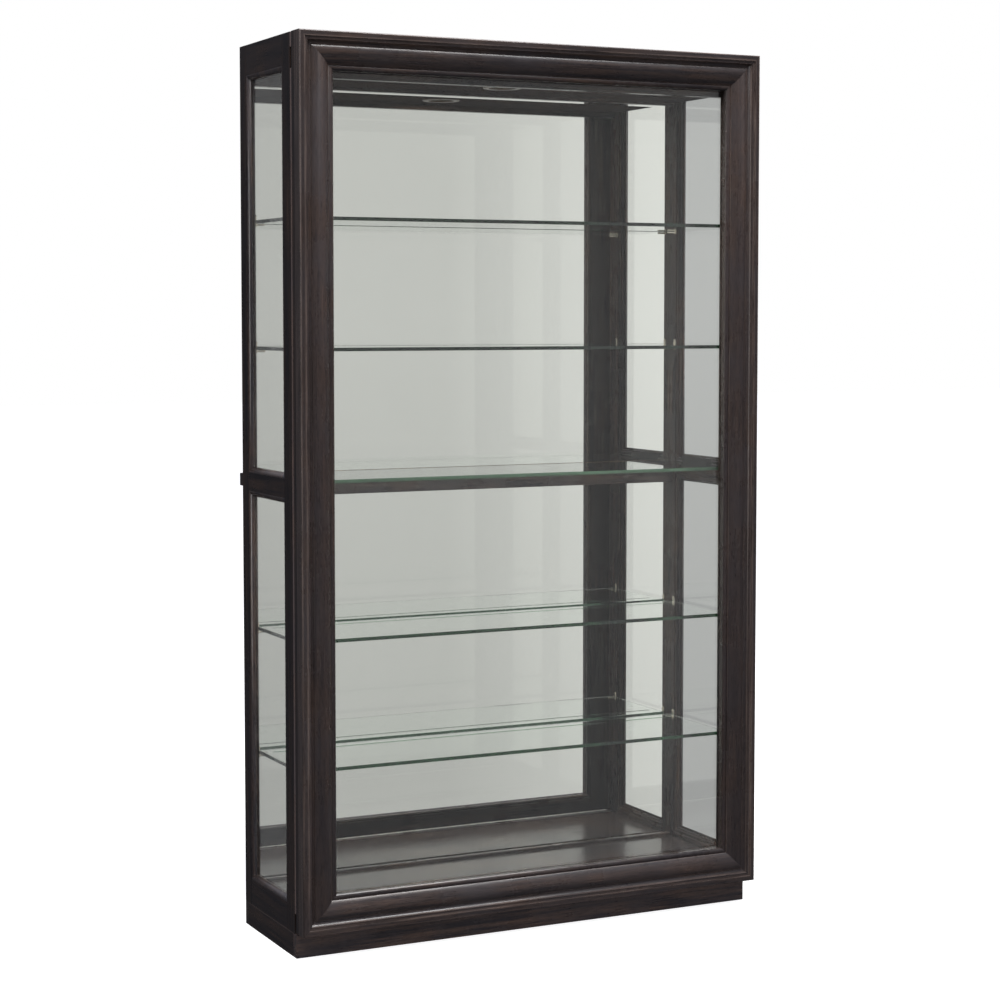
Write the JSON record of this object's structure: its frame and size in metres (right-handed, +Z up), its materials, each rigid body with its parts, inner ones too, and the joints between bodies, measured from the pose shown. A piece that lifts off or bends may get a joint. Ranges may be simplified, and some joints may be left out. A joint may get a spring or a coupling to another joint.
{
  "type": "glass display showcase",
  "caption": "Tall floor-standing display cabinet in dark wood with a framed glass door that slides sideways, glass ends, glass shelves, a mirrored back and a top light.",
  "frame": {"origin": "on the floor, under the middle of the cabinet's bounding box", "axes": "+X to the right seen from the front, +Y towards the wall behind, +Z up; the door faces -Y"},
  "size_m": [1.162, 0.4, 2.032],
  "materials": {
    "dark_wood": "satin lacquered espresso stain",
    "backing_board": "unfinished hardboard",
    "block_wood": "raw",
    "clear_glass": "clear",
    "shelf_glass": "polished green edge",
    "mirror": "polished",
    "nickel": "polished nickel",
    "zinc_steel": "bright zinc",
    "painted_tin": "grey paint",
    "light_diffuser": "frosted",
    "black_plastic": "moulded",
    "leveler_steel": "zinc"
  },
  "bodies": {
    "case": {"left_rear_stile": "dark_wood", "left_front_stile": "dark_wood", "left_top_rail": "dark_wood", "left_mid_rail": "dark_wood", "left_bottom_rail": "dark_wood", "right_rear_stile": "dark_wood", "right_front_stile": "dark_wood", "right_top_rail": "dark_wood", "right_mid_rail": "dark_wood", "right_bottom_rail": "dark_wood", "left_glass_beads": "dark_wood", "right_glass_beads": "dark_wood", "top_panel": "dark_wood", "ceiling_panel": "dark_wood", "top_front_rail": "dark_wood", "bottom_front_rail": "dark_wood", "deck_panel": "dark_wood", "plinth_front": "dark_wood", "plinth_sides": "dark_wood", "plinth_rear": "dark_wood", "back_top_rail": "dark_wood", "back_mid_rail": "dark_wood", "wall_batten": "dark_wood", "mirror_retaining_strip": "dark_wood", "front_spacer_strips": "dark_wood", "back_board": "backing_board", "corner_blocks": "block_wood", "leveler_nuts": "zinc_steel", "left_glass_panes": "clear_glass", "right_glass_panes": "clear_glass", "upper_mirror": "mirror", "lower_mirror": "mirror", "mid_shelf_glass": "shelf_glass", "shelf_pins": "nickel", "light_housing": "painted_tin", "light_trim_ring": "nickel", "light_module": "light_diffuser", "cord_inlet": "black_plastic", "case_screws": "zinc_steel", "slide_case_members": "zinc_steel"},
    "door": {"door_left_stile": "dark_wood", "door_right_stile": "dark_wood", "door_top_rail": "dark_wood", "door_bottom_rail": "dark_wood", "door_back_frame": "dark_wood", "door_glass_stops": "dark_wood", "door_glass": "clear_glass", "slide_door_members": "zinc_steel", "door_screws": "zinc_steel"},
    "slide_mid": {"slide_mid_members": "zinc_steel"},
    "case_side_cages": {"case_side_ball_cages": "zinc_steel"},
    "door_side_cages": {"door_side_ball_cages": "zinc_steel"},
    "shelf_1": {"glass_shelf_1": "shelf_glass"},
    "shelf_2": {"glass_shelf_2": "shelf_glass"},
    "shelf_3": {"glass_shelf_3": "shelf_glass"},
    "shelf_4": {"glass_shelf_4": "shelf_glass"},
    "leveler_front_left_foot": {"leveler_front_left": "leveler_steel"},
    "leveler_front_right_foot": {"leveler_front_right": "leveler_steel"},
    "leveler_rear_left_foot": {"leveler_rear_left": "leveler_steel"},
    "leveler_rear_right_foot": {"leveler_rear_right": "leveler_steel"}
  },
  "joints": [
    {"name": "door_slide", "type": "slide", "parent": "case", "child": "door", "axis": [1, 0, 0], "range_m": [-0.5, 0.5]},
    {"name": "mid_member_slide", "type": "slide", "parent": "case", "child": "slide_mid", "axis": [1, 0, 0], "range_m": [-0.25, 0.25]},
    {"name": "case_side_cage_slide", "type": "slide", "parent": "case", "child": "case_side_cages", "axis": [1, 0, 0], "range_m": [-0.125, 0.125]},
    {"name": "door_side_cage_slide", "type": "slide", "parent": "case", "child": "door_side_cages", "axis": [1, 0, 0], "range_m": [-0.375, 0.375]},
    {"name": "shelf_1_lift", "type": "slide", "parent": "case", "child": "shelf_1", "axis": [0, 0, 1], "range_m": [0, 0.05]},
    {"name": "shelf_2_lift", "type": "slide", "parent": "case", "child": "shelf_2", "axis": [0, 0, 1], "range_m": [0, 0.05]},
    {"name": "shelf_3_lift", "type": "slide", "parent": "case", "child": "shelf_3", "axis": [0, 0, 1], "range_m": [0, 0.05]},
    {"name": "shelf_4_lift", "type": "slide", "parent": "case", "child": "shelf_4", "axis": [0, 0, 1], "range_m": [0, 0.05]},
    {"name": "leveler_front_left_travel", "type": "slide", "parent": "case", "child": "leveler_front_left_foot", "axis": [0, 0, -1], "range_m": [0, 0.012]},
    {"name": "leveler_front_right_travel", "type": "slide", "parent": "case", "child": "leveler_front_right_foot", "axis": [0, 0, -1], "range_m": [0, 0.012]},
    {"name": "leveler_rear_left_travel", "type": "slide", "parent": "case", "child": "leveler_rear_left_foot", "axis": [0, 0, -1], "range_m": [0, 0.012]},
    {"name": "leveler_rear_right_travel", "type": "slide", "parent": "case", "child": "leveler_rear_right_foot", "axis": [0, 0, -1], "range_m": [0, 0.012]}
  ],
  "couplings": [
    {"joint": "mid_member_slide", "follows": "door_slide", "ratio": 0.5},
    {"joint": "case_side_cage_slide", "follows": "door_slide", "ratio": 0.25},
    {"joint": "door_side_cage_slide", "follows": "door_slide", "ratio": 0.75}
  ]
}
